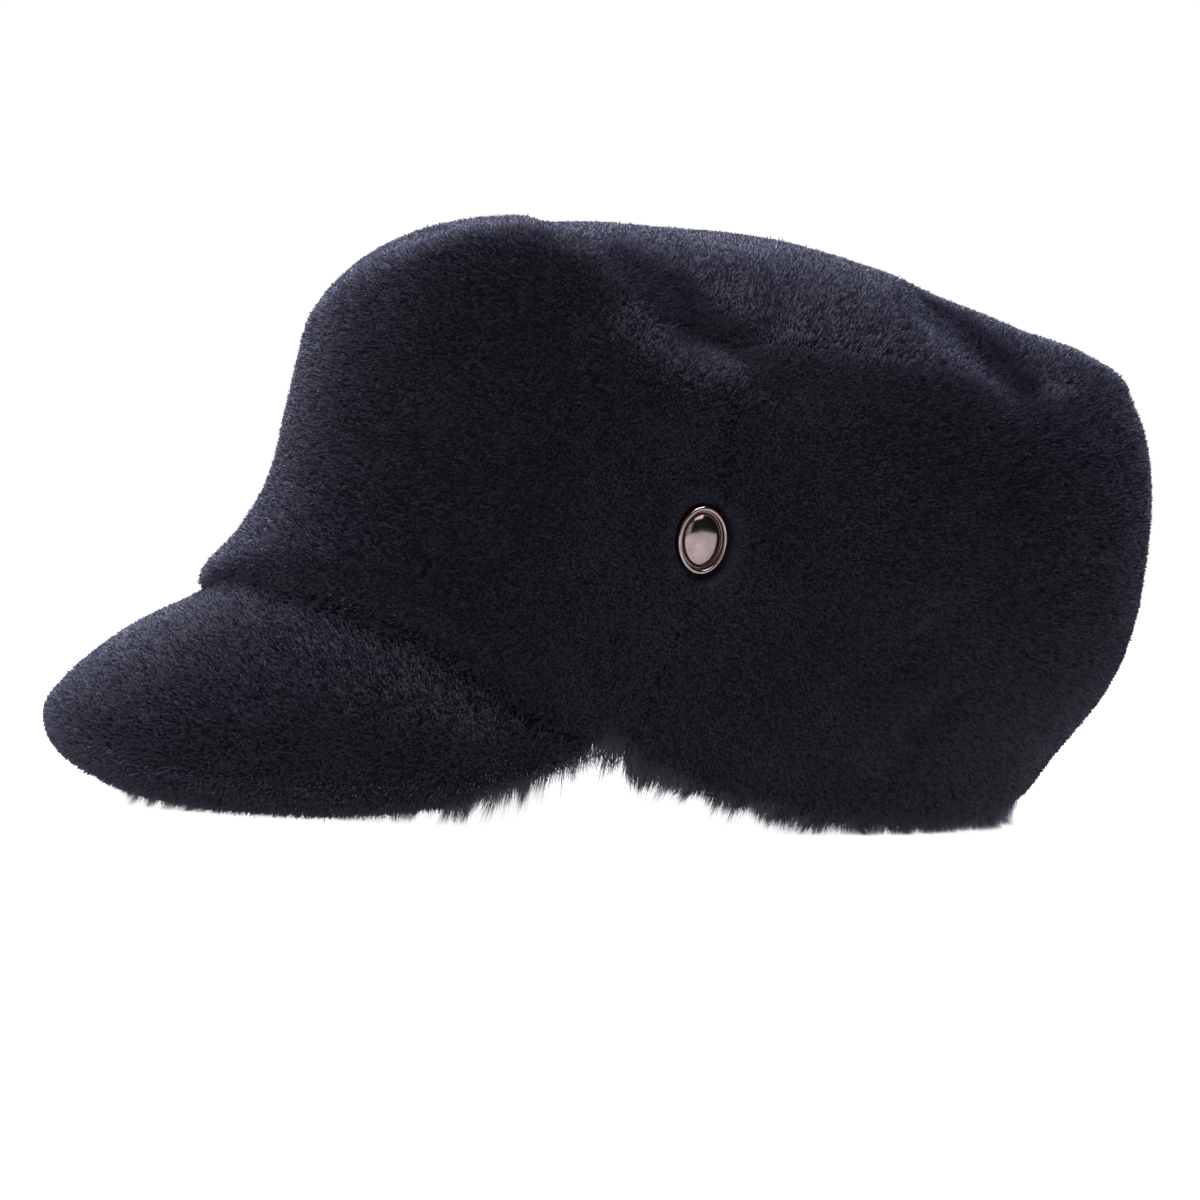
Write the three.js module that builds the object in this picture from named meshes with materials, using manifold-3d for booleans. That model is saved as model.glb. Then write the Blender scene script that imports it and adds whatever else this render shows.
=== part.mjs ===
// A soft peaked fur cap: a hollow crown of three sewn fur panels, a fur-covered wrap-round peak and a
// small metal badge on the wearer's left. Millimetres, +Z up, the peak towards -Y and the wearer's left
// towards +X. The cap rests on the back of its hem and on the lower edge of its peak, at z = 0, and the
// origin is on that plane, under the middle of the cap.
import * as THREE from "three";
import { mergeVertices } from "three/addons/utils/BufferGeometryUtils.js";
import Module from "manifold-3d";

const wasm = await Module();
wasm.setup();

// Pelt and pile together, measured square to the surface
const WALL = 10;
// Pieces that are sewn together keep this gap
const GAP = 0.3;
// The point inside the crown that every wall is thickened towards
const HEART = new THREE.Vector3(0, 15, 82);

// Level curves of the crown's outside, from the hem to the middle of the top. Each is an oval in plan,
// from front to back and half as wide as half, and rises and falls by z at every 30 degrees from the
// front round to the back. Both sides are alike.
const RINGS = [
  { name: "hem", front: -106.5, back: 119, half: 93.5, z: [57.5, 62.5, 50, 19, 3, 0.5, 5] },
  { name: "roll", front: -109.5, back: 129.5, half: 97, z: [62, 68, 59, 30, 15, 15, 20] },
  { name: "nip", front: -99.5, back: 147.5, half: 101, z: [75, 79, 73, 53, 43, 42, 46] },
  { name: "belly", front: -91.5, back: 154.5, half: 104, z: [90, 92, 91, 83, 78, 79, 84] },
  { name: "shoulder", front: -86, back: 152.5, half: 103, z: [115, 119, 123, 110, 103, 103, 109] },
  { name: "edge", front: -81, back: 146, half: 98, z: [136, 143, 153, 128, 124, 118, 122] },
  { name: "ridge", front: -75.5, back: 137, half: 92, z: [142.5, 151.5, 162, 138, 132.5, 125, 128.5] },
  { name: "slope", front: -60, back: 112, half: 63, z: [155, 158, 162, 156, 151, 143.5, 139] },
  { name: "crest", front: -20, back: 74, half: 26, z: [161, 161.5, 162, 162, 160, 155.5, 153] },
];
const SUMMIT = new THREE.Vector3(0, 28, 162.5);
const RING_STEP = Math.PI / 6;
// The ring where the wall panels meet the top, and the length of one step of t there
const TOP_SEAM = "ridge";
const SEAM_STRIDE = 130;

// Folds and dents, drawn on the side view from one (y, z) to another. side is +1 on the wearer's left,
// -1 on the right and 0 on both; a depth below 0 stands out.
const FOLDS = [
  { name: "end of the front ridge", side: 0, from: [-10, 157], to: [3, 154], width: 13, depth: -2.5 },
  { name: "dent at the seam", side: 1, from: [23, 141], to: [34, 136], width: 8, depth: 7 },
  { name: "swell under the dent", side: 1, from: [8, 128], to: [23, 119], width: 13, depth: -6 },
  { name: "crease across the back", side: 1, from: [93, 145], to: [118, 124], width: 6.5, depth: 6 },
  { name: "swell behind the crease", side: 1, from: [106, 141], to: [125, 127], width: 8, depth: -3 },
  { name: "back corner", side: 0, from: [127, 134], to: [141, 127], width: 8, depth: -3 },
  { name: "nape pucker", side: 1, from: [82, 19], to: [98, 40], width: 5, depth: 2 },
  { name: "nape dimple", side: 1, from: [88, 51], to: [90, 51], width: 7, depth: 2.5 },
  { name: "right dent", side: -1, from: [20, 142], to: [40, 133], width: 14, depth: 8 },
  { name: "right swell", side: -1, from: [10, 124], to: [34, 114], width: 13, depth: -3.5 },
  { name: "right crease", side: -1, from: [96, 144], to: [124, 112], width: 9, depth: 4 },
  { name: "right front corner", side: -1, from: [-74, 142], to: [-52, 155], width: 12, depth: -3 },
  { name: "right ridge crest", side: -1, from: [-41, 161], to: [-24, 162], width: 11, depth: -2.5 },
  { name: "right ridge sag", side: -1, from: [-8, 161], to: [14, 161], width: 13, depth: 3 },
];

// The seam down each side between the front and back panels, as (y, z) from the hem up
const SIDE_SEAM = [
  [8, 14],
  [19, 42],
  [27.5, 65],
  [32, 80],
  [36, 96],
  [36, 150],
];
const SEAM_GROOVE = { width: 3.5, depth: 1.4 };

// The peak's rounded free edge, by the angle on the hem that each section grows from: the middle of
// the edge, its radius, and how far the upper side bulges above a straight line
const PEAK_EDGE = [
  { angle: 0, x: 0, y: -142, z: 22.5, radius: 10, bulge: 7 },
  { angle: 15, x: 33, y: -136.5, z: 18, radius: 9.5, bulge: 7 },
  { angle: 30, x: 60, y: -119, z: 11.5, radius: 9, bulge: 8 },
  { angle: 45, x: 77.5, y: -94, z: 8.5, radius: 8.5, bulge: 9 },
  { angle: 60, x: 87.5, y: -66, z: 8, radius: 8, bulge: 9 },
  { angle: 75, x: 93.5, y: -35, z: 10, radius: 6.5, bulge: 6 },
  { angle: 87, x: 94.5, y: -9, z: 15.5, radius: 4.5, bulge: 2 },
];
const PEAK_ROOT_DEPTH = 7;

// Locks of longer hair along the free edges, two columns of the mesh to each
const LOCK_LENGTH = 5;

// The badge is an oval dome in a raised rim, sunk into the parted pile, with a post behind it
const BADGE = { y: 29.5, z: 80, width: 14, height: 19, plate: 1.4, rim: 1.3, dome: 2.4, sunk: 3.4 };
const POST = { radius: 1, length: 3.5 };
const PARTING = { slope: 5, height: 12 };

const PANEL = { columns: 54, rows: 16 };
const TOP = { columns: 54, rows: 8 };
const PEAK = { columns: 50, upper: 6, lower: 4, edgeTurns: [90, 60, 30, 0, -30, -60] };
const BADGE_SIDES = 28;
const COLOURS = { fur: 0x12141c, badge: 0xb49c96 };

const { degToRad, lerp, clamp } = THREE.MathUtils;
const smooth = (x) => THREE.MathUtils.smoothstep(x, 0, 1);
const bell = (distance, width) => Math.exp(-((distance / width) ** 2));

// Catmull-Rom through evenly spaced values, level at both ends
function through(values, at) {
  const last = values.length - 1;
  const i = Math.min(Math.floor(at), last - 1);
  const f = at - i;
  const value = (k) => values[k < 0 ? -k : k > last ? 2 * last - k : k];
  const [a, b, c, d] = [i - 1, i, i + 1, i + 2].map(value);
  return b + 0.5 * f * (c - a + f * (2 * a - 5 * b + 4 * c - d + f * (3 * (b - c) + d - a)));
}

function ringPoint(ring, angle) {
  const middle = (ring.front + ring.back) / 2;
  const turned = Math.abs(Math.atan2(Math.sin(angle), Math.cos(angle)));
  return new THREE.Vector3(
    ring.half * Math.sin(angle),
    middle - (middle - ring.front) * Math.cos(angle),
    through(ring.z, turned / RING_STEP),
  );
}

const meridians = new Map();

// The curve from the hem to the summit at an angle from the front
function meridian(angle) {
  if (!meridians.has(angle)) {
    const points = [...RINGS.map((ring) => ringPoint(ring, angle)), SUMMIT];
    meridians.set(angle, new THREE.CatmullRomCurve3(points, false, "centripetal"));
  }
  return meridians.get(angle);
}

// How far the point (y, z) is from a line on the side view
function distanceTo(line, y, z) {
  const point = new THREE.Vector3(y, z, 0);
  const nearest = new THREE.Vector3();
  const distances = line.slice(1).map((end, i) => {
    const piece = new THREE.Line3(new THREE.Vector3(...line[i], 0), new THREE.Vector3(...end, 0));
    return piece.closestPointToPoint(point, true, nearest).distanceTo(point);
  });
  return Math.min(...distances);
}

function foldDepth(p) {
  let depth = SEAM_GROOVE.depth * bell(distanceTo(SIDE_SEAM, p.y, p.z), SEAM_GROOVE.width);
  for (const fold of FOLDS) {
    const facing = fold.side === 0 ? 1 : smooth((fold.side * p.x) / 40);
    depth += facing * fold.depth * bell(distanceTo([fold.from, fold.to], p.y, p.z), fold.width);
  }
  return depth;
}

// The crown's outside: t runs from 0 at the hem to 1 at the summit
function outside(angle, t) {
  const p = meridian(angle).getPoint(clamp(t, 0, 1));
  const inward = HEART.clone().sub(p).normalize();
  return p.addScaledVector(inward, foldDepth(p));
}

function facingAt(angle, t) {
  const step = 0.01;
  const along = outside(angle + step, t).sub(outside(angle - step, t));
  const up = outside(angle, t + step).sub(outside(angle, t - step));
  return along.cross(up).normalize();
}

// The same place on the inside. Moving straight towards the heart never folds the wall over itself.
function inside(angle, t) {
  const p = outside(angle, t);
  const inward = HEART.clone().sub(p).normalize();
  const lean = t > 0.99 ? 1 : Math.abs(facingAt(angle, t).dot(inward));
  return p.addScaledVector(inward, WALL / Math.max(lean, 0.6));
}

// Vertices that fall together are merged, and the slivers between them dropped. The pile flattens
// where the cap rests, so nothing reaches below the floor.
function geometryOf(points, faces) {
  for (const p of points) p.z = Math.max(p.z, 0);
  const loose = new THREE.BufferGeometry().setFromPoints(points).setIndex(faces);
  const merged = mergeVertices(loose, 1e-4);
  const kept = [];
  for (let k = 0; k < faces.length; k += 3) {
    const [a, b, c] = merged.index.array.slice(k, k + 3);
    if (a !== b && b !== c && c !== a) kept.push(a, b, c);
  }
  return merged.setIndex(kept);
}

// A closed solid between an outer and an inner sheet, each a function from a column and a row to a
// point. A sheet that wraps joins its last column to its first.
function between(columns, rows, outer, inner, wraps = false) {
  const points = [];
  const faces = [];
  for (const sheet of [outer, inner])
    for (let i = 0; i <= columns; i += 1)
      for (let j = 0; j <= rows; j += 1) points.push(sheet(wraps ? i % columns : i, j));
  const at = (sheet, i, j) => (sheet * (columns + 1) + i) * (rows + 1) + j;
  const quad = (a, b, c, d) => faces.push(a, b, c, a, c, d);
  for (let i = 0; i < columns; i += 1) {
    for (let j = 0; j < rows; j += 1) {
      quad(at(0, i, j), at(0, i + 1, j), at(0, i + 1, j + 1), at(0, i, j + 1));
      quad(at(1, i, j), at(1, i, j + 1), at(1, i + 1, j + 1), at(1, i + 1, j));
    }
    quad(at(1, i, 0), at(1, i + 1, 0), at(0, i + 1, 0), at(0, i, 0));
    quad(at(0, i, rows), at(0, i + 1, rows), at(1, i + 1, rows), at(1, i, rows));
  }
  for (let j = 0; j < rows && !wraps; j += 1) {
    quad(at(0, 0, j + 1), at(1, 0, j + 1), at(1, 0, j), at(0, 0, j));
    quad(at(1, columns, j), at(1, columns, j + 1), at(0, columns, j + 1), at(0, columns, j));
  }
  return geometryOf(points, faces);
}

function solidOf(geometry) {
  const bare = new THREE.BufferGeometry();
  bare.setAttribute("position", geometry.getAttribute("position")).setIndex(geometry.index);
  const merged = mergeVertices(bare, 1e-4);
  return new wasm.Manifold(new wasm.Mesh({
    numProp: 3,
    vertProperties: merged.attributes.position.array,
    triVerts: new Uint32Array(merged.index.array),
  }));
}

function geometryFrom(solid) {
  const mesh = solid.getMesh();
  const geometry = new THREE.BufferGeometry();
  geometry.setAttribute("position", new THREE.BufferAttribute(mesh.vertProperties, 3));
  return geometry.setIndex(new THREE.BufferAttribute(mesh.triVerts, 1));
}

// The y of the side seam at a height
function seamY(z) {
  const above = SIDE_SEAM.findIndex(([, height]) => height > z);
  const i = clamp(above, 1, SIDE_SEAM.length - 1);
  const [[y0, z0], [y1, z1]] = SIDE_SEAM.slice(i - 1, i + 1);
  return lerp(y0, y1, clamp((z - z0) / (z1 - z0), 0, 1));
}

// The angle on the wearer's left at which the level t reaches the y that yAt gives for its height
function angleAtY(t, yAt) {
  let [low, high] = [degToRad(60), degToRad(125)];
  for (let step = 0; step < 24; step += 1) {
    const middle = (low + high) / 2;
    const p = outside(middle, t);
    if (p.y < yAt(p.z)) low = middle;
    else high = middle;
  }
  return (low + high) / 2;
}

// How far a free edge hangs down at a column of its mesh: locks of uneven length, side by side
function lockLength(column) {
  const tip = column % 2 === 1 ? 1 : 0.25;
  return LOCK_LENGTH * tip * (0.72 + 0.28 * Math.sin(column * 1.7) * Math.cos(column * 0.6));
}

const seamT = RINGS.findIndex((ring) => ring.name === TOP_SEAM) / RINGS.length;
const halfGapT = GAP / 2 / SEAM_STRIDE;

// One wall panel of the crown, from one side seam to the other. Where its hem is free, the locks hang
// from it and its lower edge is rounded under to the middle of the wall.
function wallPanel(startAngle, endAngle, isFree) {
  const halfGapTurn = GAP / 2 / RINGS[0].half;
  const levels = Array.from({ length: PANEL.rows + 1 }, (_, j) => (seamT - halfGapT) * (j / PANEL.rows));
  const ends = levels.map((t) => {
    const seam = angleAtY(t, seamY);
    return [startAngle(seam) + halfGapTurn, endAngle(seam) - halfGapTurn];
  });
  const angleAt = (i, j) => lerp(...ends[j], i / PANEL.columns);
  const lock = (i) => {
    const angle = angleAt(i, 0);
    const down = outside(angle, 0).sub(outside(angle, 0.03)).normalize();
    return down.multiplyScalar(i > 0 && i < PANEL.columns ? lockLength(i) : 0);
  };
  const outer = (i, j) => {
    const p = outside(angleAt(i, j), levels[j]);
    return isFree && j === 0 ? p.add(lock(i)) : p;
  };
  const inner = (i, j) => {
    const p = inside(angleAt(i, j), levels[j]);
    if (!isFree || j > 0) return p;
    const hem = outside(angleAt(i, 0), 0);
    return p.lerp(hem, 0.5).setZ(hem.z).addScaledVector(lock(i), 0.5);
  };
  return between(PANEL.columns, PANEL.rows, outer, inner);
}

function crownFront() {
  return wallPanel((seam) => -seam, (seam) => seam, false);
}

function crownBack() {
  return wallPanel((seam) => seam, (seam) => 2 * Math.PI - seam, true);
}

function crownTop() {
  const level = (j) => lerp(seamT + halfGapT, 1, j / TOP.rows);
  const angle = (i) => (i / TOP.columns) * 2 * Math.PI;
  const outer = (i, j) => outside(angle(i), level(j));
  const inner = (i, j) => inside(angle(i), level(j));
  return between(TOP.columns, TOP.rows, outer, inner, true);
}

// The whole of the peak's edge, from the wearer's right round to the left
const rightEdge = PEAK_EDGE.slice(1).reverse().map((row) => ({ ...row, angle: -row.angle, x: -row.x }));
const wholeEdge = [...rightEdge, ...PEAK_EDGE];
const edgePlaces = wholeEdge.map(({ x, y, z }) => new THREE.Vector3(x, y, z));
const edgeLine = new THREE.CatmullRomCurve3(edgePlaces, false, "catmullrom");

// The peak's free edge at an angle on the hem, evened out between the sections of the table
function peakEdge(angle) {
  const last = wholeEdge.length - 1;
  const start = clamp(wholeEdge.findLastIndex((row) => degToRad(row.angle) <= angle), 0, last - 1);
  const [a, b] = [wholeEdge[start], wholeEdge[start + 1]].map((row) => degToRad(row.angle));
  const at = start + clamp((angle - a) / (b - a), 0, 1);
  const value = (name) => through(wholeEdge.map((row) => row[name]), at);
  return { place: edgeLine.getPoint(at / last), radius: value("radius"), bulge: value("bulge") };
}

// One section of the peak, as a loop from the upper root over the edge to the lower root
function peakSection(angle, column) {
  const belowHem = (side) => {
    const p = side(angle, 0);
    return p.addScaledVector(p.clone().sub(side(angle, 0.02)).normalize(), GAP);
  };
  const upper = belowHem(outside);
  const inner = belowHem(inside);
  const lower = inner.clone().setZ(inner.z - PEAK_ROOT_DEPTH);
  const { place, radius, bulge } = peakEdge(angle);
  const out = place.clone().sub(upper.clone().lerp(lower, 0.5)).normalize();
  const across = upper.clone().sub(lower);
  across.addScaledVector(out, -across.dot(out)).normalize();
  const rim = (turn, reach) => place.clone()
    .addScaledVector(out, reach * Math.cos(degToRad(turn)))
    .addScaledVector(across, reach * Math.sin(degToRad(turn)));
  const side = (from, to, lift, steps) => {
    const control = from.clone().lerp(to, 0.5).addScaledVector(across, lift);
    const curve = new THREE.QuadraticBezierCurve3(from, control, to);
    return Array.from({ length: steps }, (_, k) => curve.getPoint(k / steps));
  };
  const hanging = (turn) => (turn < -45 ? lockLength(column) : 0);
  return [
    ...side(upper, rim(90, radius), bulge, PEAK.upper),
    ...PEAK.edgeTurns.map((turn) => rim(turn, radius + hanging(turn))),
    ...side(rim(-90, radius), lower, 0.4 * bulge, PEAK.lower),
    lower,
    inner,
  ];
}

function peak() {
  const end = degToRad(PEAK_EDGE.at(-1).angle);
  const sections = Array.from({ length: PEAK.columns + 1 }, (_, i) =>
    peakSection(lerp(-end, end, i / PEAK.columns), i));
  const around = sections[0].length;
  const points = sections.flat();
  const faces = [];
  const at = (i, k) => i * around + (k % around);
  for (let i = 0; i < PEAK.columns; i += 1)
    for (let k = 0; k < around; k += 1)
      faces.push(at(i, k), at(i, k + 1), at(i + 1, k + 1), at(i, k), at(i + 1, k + 1), at(i + 1, k));
  for (const last of [0, PEAK.columns]) {
    const middle = sections[last].reduce((sum, p) => sum.add(p), new THREE.Vector3());
    points.push(middle.divideScalar(around));
    for (let k = 0; k < around; k += 1) {
      const [a, b] = last === 0 ? [at(0, k + 1), at(0, k)] : [at(last, k), at(last, k + 1)];
      faces.push(a, b, points.length - 1);
    }
  }
  return geometryOf(points, faces);
}

// Puts a piece modelled about +Z on the badge's place, sunk into the pile and facing squarely out
function atSeat(object) {
  let t = 0.3;
  for (let step = 0; step < 20; step += 1)
    t += (BADGE.z - outside(angleAtY(t, () => BADGE.y), t).z) / 200;
  const angle = angleAtY(t, () => BADGE.y);
  const facing = facingAt(angle, t);
  object.up.set(0, 0, 1);
  object.position.copy(outside(angle, t)).addScaledVector(facing, -BADGE.sunk);
  object.lookAt(object.position.clone().add(facing));
  object.updateMatrix();
  return object;
}

// A turned oval: a profile of [radius, height] about +Z, narrowed to the badge's width
function ovalOf(profile) {
  const lathe = new THREE.LatheGeometry(profile.map(([r, h]) => new THREE.Vector2(r, h)), BADGE_SIDES);
  return lathe.rotateX(Math.PI / 2).scale(BADGE.width / BADGE.height, 1, 1);
}

function postOf(radius, length) {
  const post = new THREE.CylinderGeometry(radius, radius, length + 0.5, 12);
  return post.rotateX(Math.PI / 2).translate(0, 0, 0.25 - length / 2);
}

function badge() {
  const r = BADGE.height / 2;
  const rim = BADGE.plate + BADGE.rim;
  const dome = (share) => [r * share, BADGE.plate + BADGE.dome * Math.sqrt(1 - (share / 0.8) ** 2)];
  const plate = [
    [0, 0], [r - 0.4, 0], [r, 0.4],
    [r, rim - 0.6], [r - 0.5, rim], [r - 1.1, rim], [r - 1.6, BADGE.plate],
    [r * 0.8, BADGE.plate], dome(0.72), dome(0.55), dome(0.3), dome(0),
  ];
  return geometryFrom(solidOf(ovalOf(plate)).add(solidOf(postOf(POST.radius, POST.length))));
}

// The parting that the badge and its post press into the pile
function parting() {
  const r = BADGE.height / 2 + GAP;
  const well = ovalOf([[0, -GAP], [r, -GAP], [r + PARTING.slope, PARTING.height], [0, PARTING.height]]);
  const cut = solidOf(well).add(solidOf(postOf(POST.radius + GAP, POST.length + GAP)));
  return solidOf(geometryFrom(cut).applyMatrix4(atSeat(new THREE.Object3D()).matrix));
}

function piece(name, geometry, color, roughness, metalness) {
  const flat = geometry.toNonIndexed();
  flat.computeVertexNormals();
  const mesh = new THREE.Mesh(flat, new THREE.MeshStandardMaterial({ color, roughness, metalness }));
  mesh.name = name;
  return mesh;
}

const fur = (name, geometry) => piece(name, geometry, COLOURS.fur, 0.95, 0);
const parted = (geometry) => geometryFrom(solidOf(geometry).subtract(parting()));

const cap = new THREE.Group();
cap.add(fur("crown_front", parted(crownFront())));
cap.add(fur("crown_back", parted(crownBack())));
cap.add(fur("crown_top", crownTop()));
cap.add(fur("peak", peak()));
cap.add(atSeat(piece("side_badge", badge(), COLOURS.badge, 0.25, 1)));

// The middle of the cap goes over the origin
const reach = new THREE.Box3().setFromObject(cap, true);
const middle = reach.getCenter(new THREE.Vector3());
cap.position.set(-middle.x, -middle.y, -reach.min.z);

export default cap;
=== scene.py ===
import itertools
import math

import bpy
import numpy as np
from mathutils import Matrix, Vector
from mathutils.bvhtree import BVHTree
from mathutils.kdtree import KDTree


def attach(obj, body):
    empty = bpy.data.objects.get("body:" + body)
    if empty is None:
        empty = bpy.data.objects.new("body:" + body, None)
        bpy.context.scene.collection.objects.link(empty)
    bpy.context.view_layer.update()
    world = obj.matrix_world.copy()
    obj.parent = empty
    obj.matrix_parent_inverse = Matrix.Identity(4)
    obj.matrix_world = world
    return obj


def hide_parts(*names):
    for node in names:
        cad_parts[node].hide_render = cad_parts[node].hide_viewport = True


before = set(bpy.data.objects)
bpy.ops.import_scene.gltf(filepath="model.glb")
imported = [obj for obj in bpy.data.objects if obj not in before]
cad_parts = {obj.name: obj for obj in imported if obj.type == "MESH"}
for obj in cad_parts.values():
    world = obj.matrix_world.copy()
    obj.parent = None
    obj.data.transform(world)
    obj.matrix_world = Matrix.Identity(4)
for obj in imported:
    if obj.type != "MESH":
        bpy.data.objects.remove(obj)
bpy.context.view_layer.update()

MM = 0.001
SEED = 7

# The point inside the crown that its walls face away from
HEART = np.array([0.0, 15.0, 82.0]) * MM
# How squarely a face looks outward: fur grows on those above the first two, and the last are bare skin
CROWN_FUR_FACING = 0.25
PEAK_FUR_FACING = -0.45
SKIN_FACING = -0.3
# Faces and edges this near to another panel are sewn to it
SEWN_FACE_REACH = 0.9 * MM
SEWN_EDGE_REACH = 1.2 * MM
# Corners of the fur side this near to another panel's fur are on a seam
SEAM_REACH = 0.8 * MM
# How far from its seam with the peak the pile is longer, in mm, and by what share
PEAK_SEAM = {"reach": 5.0, "longer": 0.7}
# How far a new corner goes out to the curve between its neighbours, as a share
CURVING = 0.75
# Two corners closer than this are one
MERGE_DISTANCE = 0.001 * MM

PILE_DEPTH = 2.0 * MM
# How far roots stray, so that the pile closes over the seams
ROOT_STRAY = 0.6 * MM
FLOOR_CLEARANCE = 0.15 * MM
# How far hair that meets the floor splays outward, for each unit that it would go through it
FLOOR_SPLAY = 0.6

FUR_NODES = ("crown_front", "crown_back", "crown_top", "peak")
CROWN_LAY = (0.0, 0.55, -0.85)
PEAK_LAY = (0.0, -0.5, -0.85)

# Hairs on each panel: how many, their length and width in mm, and the way they are combed
COATS = {
    "crown_front": {"hairs": 198000, "length": 2.6, "width": 0.3, "lay": CROWN_LAY},
    "crown_back": {"hairs": 198000, "length": 2.6, "width": 0.3, "lay": CROWN_LAY},
    "crown_top": {"hairs": 168000, "length": 2.6, "width": 0.3, "lay": CROWN_LAY},
    "peak": {"hairs": 140000, "length": 2.6, "width": 0.3, "lay": PEAK_LAY},
}
# Degrees that hairs lean from upright, and turn from the lay: on the whole, in waves, and each by itself
LEAN = {"mean": 22.0, "wave": 6.0, "spread": 14.0, "least": 2.0, "most": 75.0}
COMB = {"wave": 25.0, "spread": 75.0}
WAVES = {"long": 16.0, "short": 6.0}
# Degrees that a hair's flat side turns from facing outward
ROLL_SPREAD = 28.0
# Shares by which a hair's length varies: each by itself and in patches, and the least that it can be
UNEVEN = {"spread": 0.09, "patches": 0.05, "patch_size": 5.0, "least": 0.35}
TUFT = {"spacing": 1.1, "pull": 0.2}
# How unevenly the pile catches the light, and the size of its mottling in mm
MOTTLE = {"size": 0.8, "tilt": 0.3, "length": 0.05}
# Where the hairs' own tints lie on the ramp from dark to light
TINT = {"middle": 0.5, "spread": 0.17, "lowest": 0.03, "highest": 0.97}
# Half of the width of a hair on its map
MAP_HALF_WIDTH = 0.01

# Places on the badge's side where the pile lies another way, and so looks lighter or darker: lines
# through points (y, z), how far they reach, both in mm, and the slope there (1 faces up, 0 sideways,
# -1 down)
NAP_MARKS = (
    {"line": ((-80, 129), (-55, 146), (-27, 152), (-8, 150)), "width": 10, "up": 0.2},
    {"line": ((-12, 153), (2, 146), (11, 141)), "width": 8, "up": 0.1},
    {"line": ((2, 157), (15, 149), (26, 140), (36, 135)), "width": 9, "up": 0.05},
    {"line": ((18, 147), (22, 137), (33, 135)), "width": 10, "up": 0.02},
    {"line": ((8, 139), (10, 129), (18, 120), (28, 124)), "width": 9, "up": 0.8},
    {"line": ((40, 130), (72, 123), (99, 120), (122, 114)), "width": 11, "up": 0.05},
    {"line": ((86, 149), (98, 140), (117, 123)), "width": 9, "up": 0.0},
    {"line": ((108, 143), (122, 133)), "width": 7, "up": 0.9},
    {"line": ((131, 139), (135, 126)), "width": 9, "up": 0.15},
    {"line": ((-150, 17), (-125, 5), (-83, 4), (-41, 7), (-16, 14)), "width": 18, "up": -0.6},
)

# The marks fade in between these distances from the cap's middle towards the badge
NAP_BEGINS = 8.0 * MM
NAP_FULL = 28.0 * MM

# The longer hair along the free edges: the panels that it grows from, and its length at each y, in mm
FRINGES = {
    "hem_fringe": {
        "nodes": ("crown_back", "crown_front"),
        "lengths": ((-10, 16), (6, 15), (14, 10), (45, 9.5), (60, 11), (80, 12.5), (95, 14), (120, 13)),
    },
    "peak_fringe": {
        "nodes": ("peak",),
        "lengths": (
            (-150, 4), (-138, 5.5), (-125, 10.5), (-75, 11.5),
            (-42, 9), (-33, 11), (-25, 14), (-5, 15),
        ),
    },
}
FRINGE_HAIRS = 34000
FRINGE_WIDTH = 0.18 * MM
FRINGE_SEGMENTS = 2
FRINGE_TAPER = 0.6
# It grows within this band along the edge, and as densely as it can over the first share of it
FRINGE_BAND = 9.0 * MM
FRINGE_DENSE = 0.2
# The way it hangs, how far that strays in waves, and how far each hair strays at its root
HANG = np.array([0.0, -0.25, -1.0])
HANG_STRAY = {"size": 9.0, "amount": 0.35, "share": (1.0, 1.0, 0.2)}
START_SPREAD = 0.13
# How a hair starts: out from the skin, and down with more of the hang the nearer it is to the edge
START = {"out": 0.75, "hang": 0.5, "hang_at_edge": 0.7}
BEND = {"inward": 0.5, "amount": 0.45, "most": 0.5}
# The share of its length that a hair has away from the edge, and how much the lengths vary
FRINGE_LENGTH = {"inner": 0.45, "uneven": 0.28, "patches": 0.15, "patch_size": 7.0}
# The locks that the longer hair gathers in, wide ones and narrow ones
LOCKS = (
    {"spacing": 6.0, "pull": 0.3, "point": 0.3, "uneven": 0.15},
    {"spacing": 1.6, "pull": 0.6, "point": 0.4, "uneven": 0.25},
)
# The free edges lie below this height. The pelt is lifted there, the most at its very edge.
HEM_TOP = 60.0 * MM
EDGE_LIFT = 5.5 * MM
EDGE_BAND = 12.0 * MM

# The parting round the badge, outward from its outline: bare, then hair that lies away from it
PARTING_BARE = 0.3 * MM
PARTING_FULL = 1.5 * MM
PARTING_END = 7.0 * MM
PARTING_REACH = 14.0 * MM
PARTING_LIE = {"out": 0.75, "away": 0.65, "ruffle": 0.4, "shorter": 0.35}
# Where the pelt comes up to the badge's back, and how far it stays below it
SEAT_MARGIN = 3.0 * MM
SEAT_SINK = 0.1 * MM

# The badge's section, in mm: half of its height, the dome and groove as shares of that with their
# heights, and the lip and skirt by how far in from it they are
BADGE_HALF = 9.5
DOME = {"share": 0.78, "base": 1.2, "rise": 2.6, "steps": 22}
GROOVE = ((0.79, 1.0), (0.80, 0.95), (0.82, 0.95), (0.83, 1.05))
LIP = {"inset": 0.85, "height": 1.95, "radius": 0.75, "steps": 18}
SKIRT = ((0.1, 1.2), (0.05, 0.4), (0.3, 0.05), (0.6, 0.0))
BADGE_SIDES = 160
POST_SIDES = 24
POST_RADIUS = 1.0 * MM
# The post's length, with a chamfer at its end that narrows it to a share
POST_LENGTH = 3.5 * MM
POST_CHAMFER = 0.2 * MM
POST_END = 0.7

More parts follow.
